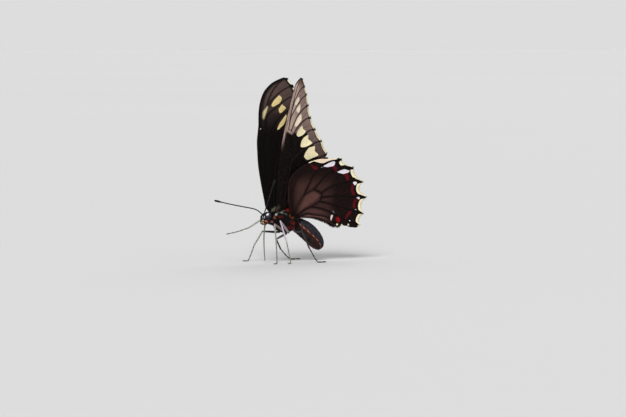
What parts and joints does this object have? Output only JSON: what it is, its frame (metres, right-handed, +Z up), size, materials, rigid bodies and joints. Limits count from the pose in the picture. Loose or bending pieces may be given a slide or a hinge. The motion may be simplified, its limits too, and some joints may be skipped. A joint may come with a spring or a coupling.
{
  "type": "gold-rim swallowtail butterfly",
  "caption": "Life-size tailless swallowtail butterfly standing on its legs with its wings raised over its back, feelers spread, and one foreleg held forward.",
  "frame": {"origin": "middle of the underside of the whole model's box, on the floor that the feet stand on", "axes": "+Z is up, towards the wing tips; -Y is the way the head faces; +X is the animal's own left"},
  "size_m": [0.0272, 0.0572, 0.0683],
  "materials": {
    "flesh": "matte black cuticle under short black hair, with small red, orange and white tufts",
    "eye": "glossy dark compound eye",
    "palp": "orange and black scaled palp",
    "antenna": "satin black ringed shaft with a thicker club",
    "proboscis": "satin dark brown-grey tube",
    "leg": "black scaled leg with a grey sheen",
    "forewing": "black-brown scales with cream spots, paler mauve-brown at the tip of the underside",
    "hindwing": "dark red-brown scales, a black margin with white and red marks and a cream fringe"
  },
  "bodies": {
    "root": {"head": "flesh", "thorax": "flesh", "abdomen": "flesh", "eye_left": "eye", "palp_left": "palp", "antenna_left": "antenna", "forewing_left": "forewing", "hindwing_left": "hindwing", "eye_right": "eye", "palp_right": "palp", "antenna_right": "antenna", "forewing_right": "forewing", "hindwing_right": "hindwing", "proboscis": "proboscis", "femur_fore_left": "leg", "femur_mid_left": "leg", "femur_hind_left": "leg", "femur_fore_right": "leg", "femur_mid_right": "leg", "femur_hind_right": "leg", "tibia_fore_left": "leg", "tibia_mid_left": "leg", "tibia_hind_left": "leg", "tibia_fore_right": "leg", "tibia_mid_right": "leg", "tibia_hind_right": "leg", "tarsus_fore_left": "leg", "tarsus_mid_left": "leg", "tarsus_hind_left": "leg", "tarsus_fore_right": "leg", "tarsus_mid_right": "leg", "tarsus_hind_right": "leg"}
  },
  "joints": []
}
